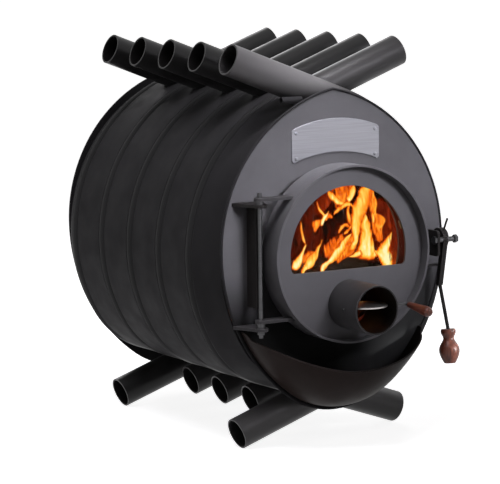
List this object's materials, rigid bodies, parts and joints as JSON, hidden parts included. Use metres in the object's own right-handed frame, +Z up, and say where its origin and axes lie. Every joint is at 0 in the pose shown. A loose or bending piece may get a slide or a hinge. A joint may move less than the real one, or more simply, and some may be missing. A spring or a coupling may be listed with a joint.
{
  "type": "convection tube wood stove",
  "caption": "Barrel-shaped wood stove of interleaved bent convection tubes with a round glazed door, air inlet damper, gravity latch, ash lip and rear flue spigot with damper.",
  "frame": {"origin": "on the floor, in the middle of the part's bounding box", "axes": "+Z up, +Y from the door towards the flue, +X to the right seen from the front"},
  "size_m": [0.5302, 0.917, 0.762],
  "materials": {
    "barrel_paint": "matt heat-proof paint",
    "front_paint": "satin heat-proof paint",
    "bare_steel": "dull bare steel",
    "name_plate_steel": "brushed stainless",
    "stained_wood": "stained and varnished",
    "firewood": "charred",
    "stove_glass": "clear glass ceramic",
    "gasket_fibre": "woven glass fibre"
  },
  "bodies": {
    "stove_body": {"left_tube_1": "barrel_paint", "left_tube_2": "barrel_paint", "left_tube_3": "barrel_paint", "left_tube_4": "barrel_paint", "left_tube_5": "barrel_paint", "right_tube_1": "barrel_paint", "right_tube_2": "barrel_paint", "right_tube_3": "barrel_paint", "right_tube_4": "barrel_paint", "right_tube_5": "barrel_paint", "left_strip_1": "barrel_paint", "left_strip_2": "barrel_paint", "left_strip_3": "barrel_paint", "left_strip_4": "barrel_paint", "left_strip_5": "barrel_paint", "left_strip_6": "barrel_paint", "right_strip_1": "barrel_paint", "right_strip_2": "barrel_paint", "right_strip_3": "barrel_paint", "right_strip_4": "barrel_paint", "right_strip_5": "barrel_paint", "front_plate": "front_paint", "rear_plate": "front_paint", "door_collar": "front_paint", "ash_lip": "front_paint", "side_socket": "front_paint", "firewood_logs": "firewood", "name_plate": "name_plate_steel", "name_plate_rivets": "name_plate_steel", "flue_spigot": "front_paint", "baffle_plate": "bare_steel", "baffle_rails": "bare_steel", "hinge_upper_bracket": "front_paint", "hinge_lower_lug": "front_paint", "hinge_spacers": "front_paint", "hinge_rod": "front_paint", "hinge_rod_nut": "front_paint", "latch_bracket": "front_paint", "latch_pivot_bolt": "front_paint", "latch_pivot_nut": "front_paint"},
    "door": {"door_ring": "front_paint", "door_disc": "front_paint", "air_pipe": "front_paint", "glass_gasket_tape": "gasket_fibre", "window_glass": "stove_glass", "door_rope_gasket": "gasket_fibre", "glass_clips": "bare_steel", "glass_clip_screws": "bare_steel", "door_hinge_arms": "front_paint", "latch_tongue": "front_paint"},
    "air_damper": {"air_damper_plate": "bare_steel", "air_damper_rod": "front_paint", "air_damper_grip": "stained_wood"},
    "latch": {"latch_lever": "front_paint", "latch_sleeve": "front_paint", "latch_rod": "front_paint", "latch_grip": "stained_wood"},
    "flue_damper": {"flue_damper_flap": "bare_steel", "flue_damper_rod": "front_paint", "flue_damper_grip": "stained_wood"}
  },
  "joints": [
    {"name": "door_hinge", "type": "hinge", "parent": "stove_body", "child": "door", "pos_m": [-0.188, -0.31447, 0.3666], "axis": [0, 0, -1], "range_deg": [0, 110]},
    {"name": "air_damper_turn", "type": "hinge", "parent": "door", "child": "air_damper", "pos_m": [0, -0.37647, 0.2707], "axis": [1, 0, 0], "range_deg": [0, 90]},
    {"name": "latch_pivot", "type": "hinge", "parent": "stove_body", "child": "latch", "pos_m": [0.199, -0.31647, 0.3755], "axis": [-1, 0, 0], "range_deg": [0, 100]},
    {"name": "flue_damper_turn", "type": "hinge", "parent": "stove_body", "child": "flue_damper", "pos_m": [0, 0.38153, 0.543], "axis": [1, 0, 0], "range_deg": [0, 90]}
  ]
}
